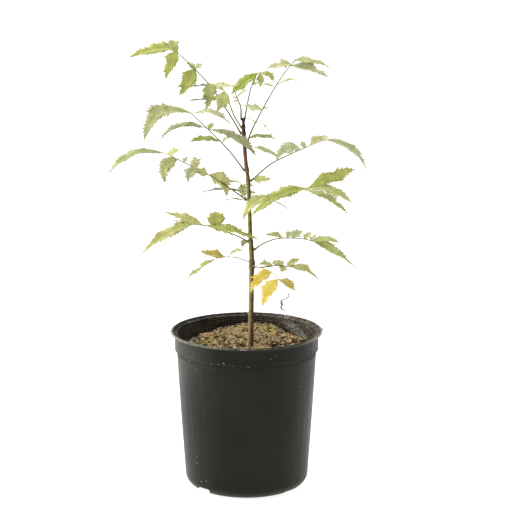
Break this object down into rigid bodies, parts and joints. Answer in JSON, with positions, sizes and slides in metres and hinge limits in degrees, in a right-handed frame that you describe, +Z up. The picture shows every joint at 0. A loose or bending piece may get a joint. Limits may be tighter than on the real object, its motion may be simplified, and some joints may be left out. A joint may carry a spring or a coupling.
{
  "type": "potted curry leaf plant with toothed leaflets",
  "caption": "Young curry leaf plant with arching fronds of long toothed leaflets on one thin woody stem, in a tapered black nursery pot filled with mulch.",
  "frame": {"origin": "centre of the pot's base, on the surface that it stands on", "axes": "+Z up along the pot's axis, -Y the front, +X to the right seen from the front"},
  "size_m": [0.2839, 0.1688, 0.4998],
  "materials": {
    "pot": "satin black recycled plastic, dusty",
    "soil": "loose bark and peat mix with bits of moss",
    "bark": "thin brown bark, darker toward the top",
    "leaf": "soft satin leaf, lighter under",
    "yellow_leaf": "soft satin leaf turned yellow"
  },
  "bodies": {
    "root": {"pot": "pot", "soil": "soil", "stem": "bark", "frond_top_left": "leaf", "frond_inner_left": "leaf", "frond_top": "leaf", "shoot_tip": "leaf", "frond_top_right": "leaf", "frond_upper_left": "leaf", "frond_mid_right": "leaf", "frond_mid_left": "leaf", "frond_back_left": "leaf", "frond_front_right": "leaf", "frond_low_left": "leaf", "frond_bottom_left": "leaf", "frond_low_right": "leaf", "frond_bottom_right": "leaf", "frond_yellow": "yellow_leaf"}
  },
  "joints": []
}
